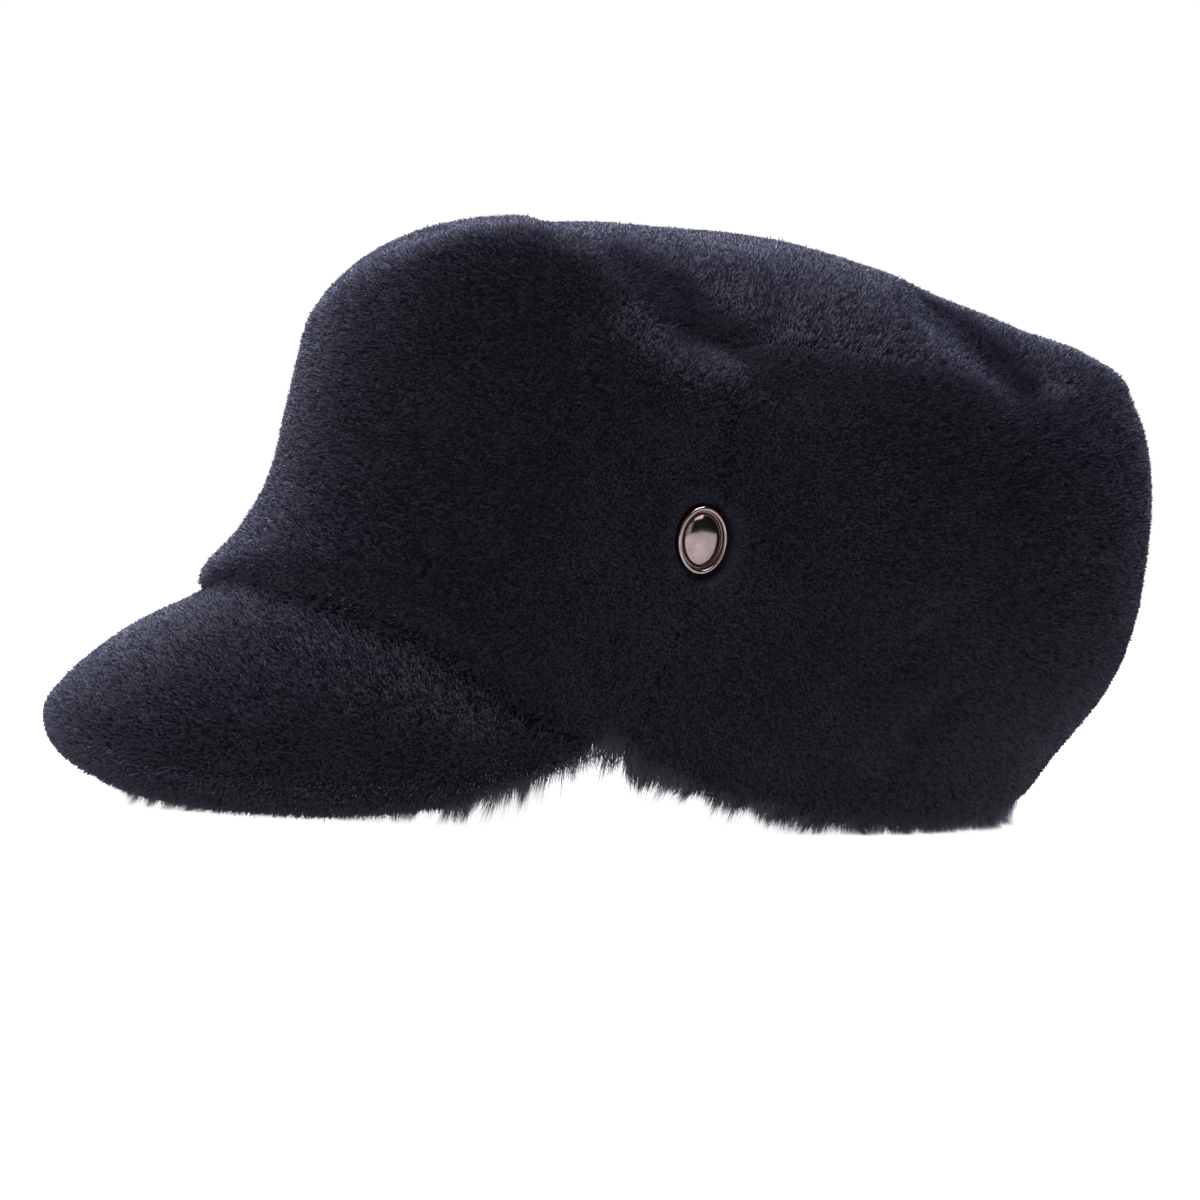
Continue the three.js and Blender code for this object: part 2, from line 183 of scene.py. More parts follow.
# Colours, from dark to light, or from a hair's root to its tip. Each hair darkens towards its root: painted
# shade deep in the pile.
SUEDE = ((0.012, 0.011, 0.013), (0.03, 0.028, 0.032))
UNDERFUR = ((0.011, 0.0108, 0.0165), (0.0155, 0.015, 0.0235))
SHORT_FUR_SHADED_ROOTS = ((0.006, 0.0055, 0.008), (0.024, 0.023, 0.034), (0.054, 0.051, 0.078))
# The long hair has painted shade at its roots, and its tips are lighter than the short hair's: painted
# light shining through the thin ends
LONG_FUR_SHADED_ROOTS_LIT_TIPS = ((0.006, 0.0055, 0.008), (0.05, 0.0475, 0.065), (0.15, 0.144, 0.194))
HAIR_TINTS = ((0.7, 0.7, 0.7), (0.9, 0.9, 0.95), (1.25, 1.25, 1.33))
METAL = ((0.24, 0.185, 0.18), (0.34, 0.265, 0.255))

FLOOR_RADIUS = 2.0
# The floor's own colour in the middle, and between which radii it fades to black under its glow
FLOOR_GREY = 0.22
FLOOR_FADE = {"from": 0.25, "to": 1.6}

# Square softboxes: where each is, its power in watts and its colour
LIGHT_SIZE = 1.0
LIT_POINT = (0.0, 0.0, 0.1)
LIGHTS = {
    "top": ((0.3, 0.0, 1.6), 36.0, (0.82, 0.85, 1.0)),
    "top_far": ((-1.0, -0.8, 1.3), 20.0, (0.85, 0.9, 1.0)),
    "top_near": ((0.9, 0.0, 1.3), 8.5, (1.0, 0.95, 0.88)),
    "near_front": ((1.4, -1.0, 0.5), 2.0, (1.0, 0.97, 0.95)),
    "low_front": ((-0.4, -1.6, 0.4), 10.0, (1.0, 0.97, 1.0)),
    "far_front": ((-1.2, -1.0, 1.0), 20.0, (0.92, 0.95, 1.0)),
    "far_low": ((-1.6, 0.0, 0.5), 80.0, (0.92, 0.96, 1.0)),
}
FILL = 0.027

# The photograph: its size in pixels, its scale on the middle of the cap, and the camera's place
PHOTO_PIXELS = 1200
PHOTO_SCALE = 0.28 * MM
CAMERA_DISTANCE = 2.5
CAMERA_ELEVATION = math.radians(2.4)
CAMERA_ROLL = math.radians(1.955)
CAMERA_AIM = Vector((0.0, 0.7 * MM, 59.0 * MM))

rng = np.random.default_rng(SEED)


def unit(vectors):
    return vectors / np.maximum(np.linalg.norm(vectors, axis=-1, keepdims=True), 1e-12)


def dot(a, b):
    return (a * b).sum(-1, keepdims=True)


def flattened(vectors, normals):
    """The vectors with their share along the normals taken out."""
    return vectors - dot(vectors, normals) * normals


def smoothstep(low, high, values):
    share = np.clip((values - low) / (high - low), 0.0, 1.0)
    return share * share * (3.0 - 2.0 * share)


def hashed(cells):
    """Three numbers from 0 to 1 for each whole-numbered cell of a lattice."""
    mixed = cells @ np.array([73856093, 19349663, 83492791]) & 0xFFFFFFFF
    channels = []
    for salt in (0x9E3779B1, 0x85EBCA6B, 0xC2B2AE35):
        value = (mixed ^ salt) & 0xFFFFFFFF
        value = (value * 0x2C1B3C6D + salt) & 0xFFFFFFFF
        value ^= value >> 15
        value = (value * 0x297A2D39) & 0xFFFFFFFF
        value ^= value >> 13
        channels.append(value / 0xFFFFFFFF)
    return np.stack(channels, axis=-1)


def noise(points, size):
    """Smooth noise from -1 to 1 in three channels, with features of about that size."""
    place = points / size
    cell = np.floor(place).astype(np.int64)
    share = place - cell
    share = share * share * (3.0 - 2.0 * share)
    total = np.zeros((len(points), 3))
    for corner in itertools.product((0, 1), repeat=3):
        weight = np.prod(np.where(corner, share, 1.0 - share), axis=1)
        total += weight[:, None] * hashed(cell + corner)
    return 2.0 * total - 1.0


def tuft_centres(points, spacing):
    """The middle of the tuft that each point belongs to: the nearest jittered point of a lattice."""
    cell = np.floor(points / spacing).astype(np.int64)
    nearest = np.full(len(points), np.inf)
    centres = np.zeros_like(points)
    for shift in itertools.product((-1, 0, 1), repeat=3):
        candidate = (cell + shift + hashed(cell + shift)) * spacing
        distance = ((candidate - points) ** 2).sum(axis=1)
        closer = distance < nearest
        nearest[closer] = distance[closer]
        centres[closer] = candidate[closer]
    return centres


class Surface:
    """A CAD node's shape, with its corners merged, and the faces that carry fur picked out."""

    def __init__(self, node):
        self.node = node
        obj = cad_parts[node]
        mesh = obj.data
        mesh.calc_loop_triangles()
        points = np.empty(len(mesh.vertices) * 3)
        mesh.vertices.foreach_get("co", points)
        corners = np.empty(len(mesh.loop_triangles) * 3, dtype=np.int32)
        mesh.loop_triangles.foreach_get("vertices", corners)
        placed = points.reshape(-1, 3) @ np.array(obj.matrix_world.to_3x3()).T
        placed += np.array(obj.matrix_world.translation)
        cells = (placed / MERGE_DISTANCE).round().astype(np.int64)
        _, first, same = np.unique(cells, axis=0, return_index=True, return_inverse=True)
        self.points = placed[first]
        faces = same.reshape(-1)[corners.reshape(-1, 3)]
        whole = (faces[:, 0] != faces[:, 1]) & (faces[:, 1] != faces[:, 2]) & (faces[:, 2] != faces[:, 0])
        self.faces = faces[whole]
        self.measure()
        self.tree = BVHTree.FromPolygons(self.points.tolist(), self.faces.tolist())

    def measure(self):
        """Each face's area, normal and middle."""
        a, b, c = (self.points[self.faces[:, k]] for k in range(3))
        cross = np.cross(b - a, c - a)
        self.areas = np.linalg.norm(cross, axis=1) / 2.0
        self.face_normals = unit(cross)
        self.middles = (a + b + c) / 3.0

    def mark_fur(self, others):
        """Fur grows on the faces that look outward and aren't sewn against another panel."""
        if self.node == "peak":
            outward = unit(self.middles * (1.0, 1.0, 0.0))
            least = PEAK_FUR_FACING
        else:
            outward = unit(self.middles - HEART)
            least = CROWN_FUR_FACING
        facing = dot(self.face_normals, outward)[:, 0]
        self.skin = facing < SKIN_FACING
        self.furry = (facing > least) & ~near_any(self.middles, others, SEWN_FACE_REACH)
        self.edge_points = self.free_edge(others)
        self.set_normals()
        self.refine()
        self.fur_tree = BVHTree.FromPolygons(self.points.tolist(), self.faces[self.furry].tolist())

    def set_normals(self):
        """Smooth normals for the corners of the fur side."""
        self.normals = np.zeros_like(self.points)
        weighted = self.face_normals * self.areas[:, None]
        for k in range(3):
            np.add.at(self.normals, self.faces[self.furry, k], weighted[self.furry])
        self.normals = unit(self.normals)

    def refine(self):
        """Cuts each face in four, with the new corners set out on the curve of the fur side."""
        edges = np.concatenate([self.faces[:, [0, 1]], self.faces[:, [1, 2]], self.faces[:, [2, 0]]])
        pairs, place = np.unique(np.sort(edges, axis=1), axis=0, return_inverse=True)
        place = place.reshape(-1)
        on_fur = np.zeros(len(pairs), dtype=bool)
        on_fur[place[np.tile(self.furry, 3)]] = True
        middles = self.points[pairs].mean(axis=1)
        sagging = np.zeros_like(middles)
        for end in pairs.T:
            sagging += dot(middles - self.points[end], self.normals[end]) * self.normals[end] / 2.0
        middles[on_fur] -= CURVING * sagging[on_fur]
        ab, bc, ca = (place + len(self.points)).reshape(3, -1)
        a, b, c = self.faces.T
        quarters = [(a, ab, ca), (ab, b, bc), (ca, bc, c), (ab, bc, ca)]
        self.faces = np.concatenate([np.stack(corners, axis=1) for corners in quarters])
        self.points = np.concatenate([self.points, middles])
        self.furry = np.tile(self.furry, 4)
        self.skin = np.tile(self.skin, 4)
        self.measure()
        self.set_normals()

    def free_edge(self, others):
        """Points along the line where the fur ends without another panel beyond it."""
        edges = np.concatenate([self.faces[:, [0, 1]], self.faces[:, [1, 2]], self.faces[:, [2, 0]]])
        furry = np.tile(self.furry, 3)
        keys = np.sort(edges, axis=1)
        ends = set(map(tuple, keys[furry])) & set(map(tuple, keys[~furry]))
        middles = np.array([(self.points[a] + self.points[b]) / 2.0 for a, b in sorted(ends)])
        free = ~near_any(middles, others, SEWN_EDGE_REACH) & (middles[:, 2] < HEM_TOP)
        return middles[free]


def join_normals(surfaces):
    """Along a seam, both panels take the mean of their normals, so that the pile runs on across it.

    Each corner is also marked by how near it is to the peak's seam, from 0 to 1.
    """
    reach = PEAK_SEAM["reach"] * MM
    joined = []
    for surface in surfaces:
        normals = surface.normals.copy()
        surface.in_groove = np.zeros(len(surface.points))
        for k in np.unique(surface.faces[surface.furry]):
            place = Vector(surface.points[k])
            for other in surfaces:
                if other is surface:
                    continue
                _, _, face, distance = other.fur_tree.find_nearest(place, reach)
                if face is None:
                    continue
                if distance < SEAM_REACH:
                    normals[k] += unit(other.normals[other.faces[other.furry][face]].sum(axis=0))
                if "peak" in (surface.node, other.node):
                    surface.in_groove[k] = 1.0 - distance / reach
        joined.append(unit(normals))
    for surface, normals in zip(surfaces, joined):
        surface.normals = normals


def near_any(points, surfaces, reach):
    """Whether each point is within reach of any of the surfaces."""
    found = np.zeros(len(points), dtype=bool)
    for k, point in enumerate(points):
        found[k] = any(s.tree.find_nearest(Vector(point), reach)[0] is not None for s in surfaces)
    return found


class Seat:
    """Where the badge sits: the middle of its back, and the axes that it is drawn on."""

    def __init__(self, node):
        surface = Surface(node)
        _, group = np.unique(surface.face_normals.round(2), axis=0, return_inverse=True)
        group = group.reshape(-1)
        back = group == np.bincount(group, weights=surface.areas).argmax()
        weights = surface.areas[back, None]
        self.facing = unit(-(surface.face_normals[back] * weights).sum(axis=0))
        self.right = unit(np.cross((0.0, 0.0, 1.0), self.facing))
        self.up = np.cross(self.facing, self.right)
        self.middle = (surface.middles[back] * weights).sum(axis=0) / weights.sum()
        reach = surface.points - self.middle
        self.half_width = np.abs(reach @ self.right).max()
        self.half_height = np.abs(reach @ self.up).max()

    def to_local(self, points):
        """Points as places along the seat's right, its up and out of it."""
        return (points - self.middle) @ np.stack([self.right, self.up, self.facing], axis=1)

    def to_cap(self, points):
        """Places on the seat as points in the cap's frame."""
        return points @ np.stack([self.right, self.up, self.facing]) + self.middle

    def beyond(self, points):
        """How far each point lies outside the badge's outline, measured along the seat."""
        local = self.to_local(points)
        radius = np.hypot(local[:, 0] / self.half_width, local[:, 1] / self.half_height)
        beyond = (radius - 1.0) * (self.half_width + self.half_height) / 2.0
        return np.where(np.abs(local[:, 2]) < PARTING_REACH, beyond, np.inf)


def mesh_piece(name, points, faces, materials, uv=None, normals=None):
    """A new object from arrays: points, triangles, and a map place and a normal for each point."""
    mesh = bpy.data.meshes.new(name)
    mesh.vertices.add(len(points))
    mesh.vertices.foreach_set("co", np.ascontiguousarray(points, dtype=np.float32).ravel())
    mesh.loops.add(faces.size)
    mesh.loops.foreach_set("vertex_index", np.ascontiguousarray(faces, dtype=np.int32).ravel())
    mesh.polygons.add(len(faces))
    mesh.polygons.foreach_set("loop_start", np.arange(0, faces.size, 3, dtype=np.int32))
    mesh.polygons.foreach_set("use_smooth", np.ones(len(faces), dtype=bool))
    if uv is not None:
        layer = mesh.uv_layers.new(name="OFBake")
        layer.data.foreach_set("uv", uv[faces.ravel()].astype(np.float32).ravel())
    if normals is not None:
        layer = mesh.attributes.new("custom_normal", "FLOAT_VECTOR", "POINT")
        layer.data.foreach_set("vector", normals.astype(np.float32).ravel())
    mesh.update(calc_edges=True)
    for material in materials:
        mesh.materials.append(material)
    obj = bpy.data.objects.new(name, mesh)
    bpy.context.scene.collection.objects.link(obj)
    return obj


def pelt(surface, seat, materials):
    """The panel's solid with its fur side let in by the depth of the pile, but up to the badge."""
    points = surface.points.copy()
    fur_points = np.unique(surface.faces[surface.furry])
    depth = np.full(len(fur_points), PILE_DEPTH)
    level = seat.to_local(points[fur_points])[:, 2]
    parted = seat.beyond(points[fur_points]) < SEAT_MARGIN
    depth[parted] = np.clip(level[parted] + SEAT_SINK, 0.0, PILE_DEPTH)
    normals = surface.normals[fur_points].copy()
    normals[parted] = seat.facing
    points[fur_points] -= normals * depth[:, None]
    near_edge = 1.0 - smoothstep(0.0, EDGE_BAND, edge_distance(surface, surface.points))
    points[:, 2] += EDGE_LIFT * near_edge
    points[:, 2] = np.maximum(points[:, 2], FLOOR_CLEARANCE)
    surface.let_in = points
    obj = mesh_piece(f"{surface.node}_pelt", points, surface.faces, materials)
    obj.data.polygons.foreach_set("material_index", (~surface.skin).astype(np.int32))
    return obj


def scatter(surface, count, weights):
    """Random points on the let-in fur side, with the normals, the outer surface and the seam mark there."""
    chances = surface.areas * weights
    picked = rng.choice(len(chances), size=count, p=chances / chances.sum())
    u, v = rng.random((2, count, 1))
    flip = u + v > 1.0
    u[flip], v[flip] = 1.0 - u[flip], 1.0 - v[flip]
    a, b, c = (surface.faces[picked, k] for k in range(3))

    def blend(values):
        return values[a] * (1.0 - u - v) + values[b] * u + values[c] * v

    in_groove = blend(surface.in_groove[:, None])[:, 0]
    return blend(surface.let_in), unit(blend(surface.normals)), blend(surface.points), in_groove


def edge_distance(surface, points):
    """How far each point is from the free edge of its panel."""
    if not len(surface.edge_points):
        return np.full(len(points), np.inf)
    tree = KDTree(len(surface.edge_points))
    for k, point in enumerate(surface.edge_points):
        tree.insert(point, k)
    tree.balance()
    return np.array([tree.find(point)[2] for point in points])


def turned(vectors, axes, degrees):
    """Each vector turned about its own axis, which is square to it."""
    angle = np.radians(degrees)[:, None]
    return vectors * np.cos(angle) + np.cross(axes, vectors) * np.sin(angle)


def line_distance(points, line):
    """How far each point (y, z) is from a line through some points."""
    nearest = np.full(len(points), np.inf)
    for start, end in itertools.pairwise(np.array(line) * MM):
        along = end - start
        share = np.clip((points - start) @ along / (along @ along), 0.0, 1.0)
        nearest = np.minimum(nearest, np.linalg.norm(points - start - share[:, None] * along, axis=1))
    return nearest


def with_nap(points, normals):
    """The pile's normals, turned up or down where it lies another way."""
    turned_normals = normals.copy()
    badge_side = smoothstep(NAP_BEGINS, NAP_FULL, points[:, 0])
    for mark in NAP_MARKS:
        near = 1.0 - smoothstep(0.0, mark["width"] * MM, line_distance(points[:, 1:], mark["line"]))
        turned_normals[:, 2] += (mark["up"] - turned_normals[:, 2]) * near * badge_side
    return unit(turned_normals)


def hair_directions(points, normals, lay):
    """The way each hair points: leant from the normal along the lay, in waves and at random."""
    count = len(points)
    wave = noise(points, WAVES["long"] * MM) + 0.5 * noise(points + 1.0, WAVES["short"] * MM)
    along = unit(flattened(np.broadcast_to(lay, points.shape), normals))
    along = turned(along, normals, COMB["wave"] * wave[:, 0] + COMB["spread"] * rng.normal(size=count))
    lean = LEAN["mean"] + LEAN["wave"] * wave[:, 1] + LEAN["spread"] * rng.normal(size=count)
    lean = np.radians(np.clip(lean, LEAN["least"], LEAN["most"]))[:, None]
    return normals * np.cos(lean) + along * np.sin(lean)


def pointed_blade(segments):
    """A long hair: its corners as (share of the length, side of the middle), and its triangles."""
    corners = []
    for row in np.arange(segments) / segments:
        side = (1.0 - row) ** FRINGE_TAPER
        corners += [(row, -side), (row, side)]
    corners.append((1.0, 0.0))
    triangles = [(2 * k, 2 * k + 1, 2 * k + 2) for k in range(segments)]
    triangles += [(2 * k + 1, 2 * k + 3, 2 * k + 2) for k in range(segments - 1)]
    return corners, triangles


def cut_blade():
    """A sheared hair, or a few together, that widens to a blunt end."""
    return [(0.0, 0.0), (1.0, 1.0), (1.0, -1.0)], [(0, 1, 2)]


def grow(name, roots, normals, directions, bends, lengths, widths, blade, material):
    """Blades of one kind from the roots, bent by the share of their length that bends says.

    Each blade faces outward, and takes the light with the normal of the pile round it, as the many
    fine hairs that it stands for do.
    """
    count = len(roots)
    across = turned(unit(np.cross(directions, normals)), directions, ROLL_SPREAD * rng.normal(size=count))
    corners, triangles = blade
    columns = []
    for row, side in corners:
        spine = on_floor(roots + (directions + bends * row) * lengths[:, None] * row)
        columns.append(spine + across * (side * widths / 2.0)[:, None])
    points = np.stack(columns, axis=1).reshape(-1, 3)
    points[:, 2] = np.maximum(points[:, 2], FLOOR_CLEARANCE)
    faces = np.arange(count)[:, None, None] * len(corners) + np.array(triangles)[None]
    tint = TINT["middle"] + TINT["spread"] * rng.normal(size=count)
    tint = np.clip(tint, TINT["lowest"], TINT["highest"])
    rows, sides = np.array(corners).T
    across_map = tint[:, None] + MAP_HALF_WIDTH * sides
    uv = np.stack(np.broadcast_arrays(across_map, rows[None]), axis=-1).reshape(-1, 2)
    mottled = unit(normals + MOTTLE["tilt"] * noise(roots, MOTTLE["size"] * MM))
    normals = np.repeat(mottled, len(corners), axis=0)
    return mesh_piece(name, points, faces.reshape(-1, 3), [material], uv, normals)


def on_floor(points):
    """Hair that would go through the floor lies out along it instead."""
    below = np.maximum(FLOOR_CLEARANCE - points[:, 2], 0.0)
    outward = unit(points * (1.0, 1.0, 0.0))
    moved = points + outward * (FLOOR_SPLAY * below)[:, None]
    moved[:, 2] = np.maximum(points[:, 2], FLOOR_CLEARANCE)
    return moved


def part_for_badge(seat, points, directions, lengths):
    """Hair beside the badge lies away from it and is shorter, and none grows under it."""
    beyond = seat.beyond(points)
    near = (1.0 - smoothstep(PARTING_FULL, PARTING_END, beyond))[:, None]
    local = seat.to_local(points) * (1.0, 1.0, 0.0)
    away = unit(local) @ np.stack([seat.right, seat.up, seat.facing])
    lying = PARTING_LIE["out"] * seat.facing + PARTING_LIE["away"] * away
    lying = unit(lying + PARTING_LIE["ruffle"] * rng.normal(size=points.shape))
    directions = unit(directions * (1.0 - near) + lying * near)
    lengths = lengths * (1.0 - PARTING_LIE["shorter"] * near[:, 0])
    return directions, lengths, beyond > PARTING_BARE


def coat(surface, seat, material):
    """The short, sheared hair of one panel."""
    plan = COATS[surface.node]
    roots, normals, outer, in_groove = scatter(surface, plan["hairs"], surface.furry)
    stray = ROOT_STRAY * flattened(rng.normal(size=roots.shape), normals)
    roots = roots + stray
    outer = outer + stray
    napped = with_nap(outer, normals)
    directions = hair_directions(outer, unit(normals + napped), plan["lay"])
    room = dot(outer - roots, normals)[:, 0] / PILE_DEPTH
    lengths = plan["length"] * MM * np.clip(room, UNEVEN["least"], 1.0)
    patches = noise(outer, UNEVEN["patch_size"] * MM)[:, 0]
    lengths *= 1.0 + UNEVEN["spread"] * rng.normal(size=len(roots)) + UNEVEN["patches"] * patches
    lengths *= 1.0 + MOTTLE["length"] * noise(outer, MOTTLE["size"] * MM)[:, 2]
    lengths *= 1.0 + PEAK_SEAM["longer"] * in_groove
    directions, lengths, kept = part_for_badge(seat, outer, directions, lengths)
    pull = flattened(tuft_centres(outer, TUFT["spacing"] * MM) - outer, normals) * TUFT["pull"]
    directions = unit(directions + pull / lengths[:, None])
    widths = np.full(len(roots), plan["width"] * MM)
    still = np.zeros_like(roots)
    chosen = [values[kept] for values in (roots, napped, directions, still, lengths, widths)]
    return grow(f"{surface.node}_fur", *chosen, cut_blade(), material)


def fringe(name, surfaces, material):
    """The long hair that hangs from the free edges of some panels, shared out by their areas near them."""
    parts = []
    for surface in surfaces:
        if not len(surface.edge_points):
            continue
        distance = edge_distance(surface, surface.middles)
        weights = surface.furry * (1.0 - smoothstep(FRINGE_DENSE * FRINGE_BAND, FRINGE_BAND, distance))
        parts.append((surface, weights, (surface.areas * weights).sum()))
    total = sum(share for _, _, share in parts)
    grown = []
    for surface, weights, share in parts:
        count = int(FRINGE_HAIRS * share / total)
        grown.append(hanging_hairs(surface, count, weights, FRINGES[name]["lengths"]))
    joined = [np.concatenate(column) for column in zip(*grown)]
    widths = np.full(len(joined[0]), FRINGE_WIDTH)
    return grow(name, *joined, widths, pointed_blade(FRINGE_SEGMENTS), material)


def hanging_hairs(surface, count, weights, length_plan):
    """Roots, normals, directions, bends and lengths of the long hairs along a panel's free edge."""
    roots, normals, outer, _ = scatter(surface, count, weights)
    reach = 1.0 - smoothstep(0.0, FRINGE_BAND, edge_distance(surface, outer))
    waves = noise(outer, HANG_STRAY["size"] * MM) * HANG_STRAY["share"]
    hang = unit(HANG + HANG_STRAY["amount"] * waves)
    spread = START_SPREAD * rng.normal(size=outer.shape)
    down = hang * (START["hang"] + START["hang_at_edge"] * reach[:, None])
    start = unit(START["out"] * normals + down + spread)
    places, plan_lengths = np.array(length_plan).T * MM
    inner = FRINGE_LENGTH["inner"]
    lengths = np.interp(outer[:, 1], places, plan_lengths) * (inner + (1.0 - inner) * reach)
    patches = noise(outer, FRINGE_LENGTH["patch_size"] * MM)[:, 1]
    uneven = FRINGE_LENGTH["uneven"] * np.abs(rng.normal(size=count))
    lengths *= 1.0 - uneven + FRINGE_LENGTH["patches"] * patches
    bends = (hang - BEND["inward"] * normals) * BEND["amount"]
    for lock in LOCKS:
        spacing = lock["spacing"] * MM
        centre = tuft_centres(outer, spacing)
        aside = (centre - outer) * (1.0, 1.0, 0.0)
        bends += np.clip(aside * lock["pull"] / lengths[:, None], -BEND["most"], BEND["most"])
        lengths *= 1.0 - lock["point"] * np.minimum(np.linalg.norm(aside, axis=1) / spacing, 1.0)
        lengths *= 1.0 + lock["uneven"] * noise(centre, spacing)[:, 0]
    return roots, normals, start, bends, lengths


def turned_profile():
    """The badge's section from its middle out and round to its back, as (radius, height)."""
    dome_radius = BADGE_HALF * DOME["share"]
    quarter = np.linspace(0.0, math.pi / 2.0, DOME["steps"])[1:]
    dome = np.stack([dome_radius * np.sin(quarter), DOME["base"] + DOME["rise"] * np.cos(quarter)], axis=1)
    groove = np.array(GROOVE) * (BADGE_HALF, 1.0)
    half = np.linspace(0.0, math.pi, LIP["steps"])
    lip_middle = np.array([BADGE_HALF - LIP["inset"], LIP["height"]])
    lip = lip_middle + LIP["radius"] * np.stack([-np.cos(half), np.sin(half)], axis=1)
    skirt = np.array([(BADGE_HALF - inset, height) for inset, height in SKIRT])
    return np.concatenate([dome, groove, lip, skirt]) * MM


def oval_dome(seat):
    """The badge's profile turned round an oval, and closed at the middle of its front and back."""
    profile = turned_profile()
    turn = np.arange(BADGE_SIDES) / BADGE_SIDES * 2.0 * math.pi
    ring = np.stack([np.cos(turn) * seat.half_width / seat.half_height, np.sin(turn)], axis=1)
    flat = profile[:, None, :1] * ring[None]
    height = np.broadcast_to(profile[:, None, 1:], flat.shape[:2] + (1,))
    points = np.concatenate([flat, height], axis=2).reshape(-1, 3)
    rows = len(profile)
    row, side = np.meshgrid(np.arange(rows - 1), np.arange(BADGE_SIDES), indexing="ij")
    a = row * BADGE_SIDES + side
    b = row * BADGE_SIDES + (side + 1) % BADGE_SIDES
    c = a + BADGE_SIDES
    d = b + BADGE_SIDES
    first = side[0]
    following = (first + 1) % BADGE_SIDES
    to_last = (rows - 1) * BADGE_SIDES
    front = np.full(BADGE_SIDES, len(points))
    back = front + 1
    faces = np.concatenate([
        np.stack([a, c, b], -1).reshape(-1, 3),
        np.stack([b, c, d], -1).reshape(-1, 3),
        np.stack([front, first, following], -1),
        np.stack([first + to_last, back, following + to_last], -1),
    ])
    top = (DOME["base"] + DOME["rise"]) * MM
    return np.concatenate([points, [[0.0, 0.0, top], [0.0, 0.0, 0.0]]]), faces


def post():
    """The round post behind the badge, with a chamfered end."""
    turn = np.arange(POST_SIDES) / POST_SIDES * 2.0 * math.pi
    circle = np.stack([np.cos(turn), np.sin(turn)], axis=1) * POST_RADIUS
    rings = ((1.0, 0.0), (1.0, POST_CHAMFER - POST_LENGTH), (POST_END, -POST_LENGTH))
    tube = [np.column_stack([circle * size, np.full(POST_SIDES, z)]) for size, z in rings]
    points = np.concatenate([*tube, [[0.0, 0.0, -POST_LENGTH]]])
    this = np.arange(POST_SIDES)
    following = (this + 1) % POST_SIDES
    starts = (0, POST_SIDES)
    faces = [np.stack([this, this + POST_SIDES, following], -1) + k for k in starts]
    faces += [np.stack([following, this + POST_SIDES, following + POST_SIDES], -1) + k for k in starts]
    end = np.full(POST_SIDES, 3 * POST_SIDES)
    faces.append(np.stack([this + 2 * POST_SIDES, end, following + 2 * POST_SIDES], -1))
    return points, np.concatenate(faces)


def badge(seat, material):
    """A polished oval dome in a raised rim, with its post, on the CAD badge's seat."""
    dome_points, dome_faces = oval_dome(seat)
    post_points, post_faces = post()
    points = seat.to_cap(np.concatenate([dome_points, post_points]))
    faces = np.concatenate([dome_faces, post_faces + len(dome_points)])
    return mesh_piece("badge", points, faces, [material])


def new_material(name):
    """A material with its nodes, their links and its main shader."""
    material = bpy.data.materials.new(name)
    material.use_nodes = True
    nodes = material.node_tree.nodes
    return material, nodes, material.node_tree.links, nodes["Principled BSDF"]


def ramp(nodes, stops):
    """A colour ramp with these (place, colour) stops."""
    node = nodes.new("ShaderNodeValToRGB")
    elements = node.color_ramp.elements
    while len(elements) < len(stops):
        elements.new(0.5)
    for element, (place, colour) in zip(elements, stops):
        element.position = place
        element.color = (*colour, 1.0)
    return node


def fur_material(name, root, middle, tip):
    """Hair coloured from root to tip, each with its own tint, both read from the map on the hairs.

    Half of the light goes through a hair, so it is as bright from either side.
    """
    material, nodes, links, shader = new_material(name)
    coords = nodes.new("ShaderNodeUVMap")
    coords.uv_map = "OFBake"
    split = nodes.new("ShaderNodeSeparateXYZ")
    links.new(coords.outputs["UV"], split.inputs["Vector"])
    # Each hair darkens towards its root: painted shade deep in the pile
    along = ramp(nodes, [(0.0, root), (0.55, middle), (1.0, tip)])
    links.new(split.outputs["Y"], along.inputs["Fac"])
    tint = ramp(nodes, list(zip((0.0, 0.5, 1.0), HAIR_TINTS)))
    links.new(split.outputs["X"], tint.inputs["Fac"])
    product = nodes.new("ShaderNodeMix")
    product.data_type = "RGBA"
    product.blend_type = "MULTIPLY"
    product.inputs["Factor"].default_value = 1.0
    first, second = [socket for socket in product.inputs if socket.type == "RGBA"]
    colour = next(socket for socket in product.outputs if socket.type == "RGBA")
    links.new(along.outputs["Color"], first)
    links.new(tint.outputs["Color"], second)
    links.new(colour, shader.inputs["Base Color"])
    shader.inputs["Roughness"].default_value = 0.5
    shader.inputs["Specular IOR Level"].default_value = 0.35
    shader.inputs["Sheen Weight"].default_value = 0.25
    shader.inputs["Sheen Roughness"].default_value = 0.4
    shader.inputs["Sheen Tint"].default_value = (0.7, 0.72, 1.0, 1.0)
    through = nodes.new("ShaderNodeBsdfTranslucent")
    links.new(colour, through.inputs["Color"])
    both = nodes.new("ShaderNodeMixShader")
    both.inputs["Fac"].default_value = 0.5
    links.new(shader.outputs["BSDF"], both.inputs[1])
    links.new(through.outputs["BSDF"], both.inputs[2])
    links.new(both.outputs["Shader"], nodes["Material Output"].inputs["Surface"])
    return material


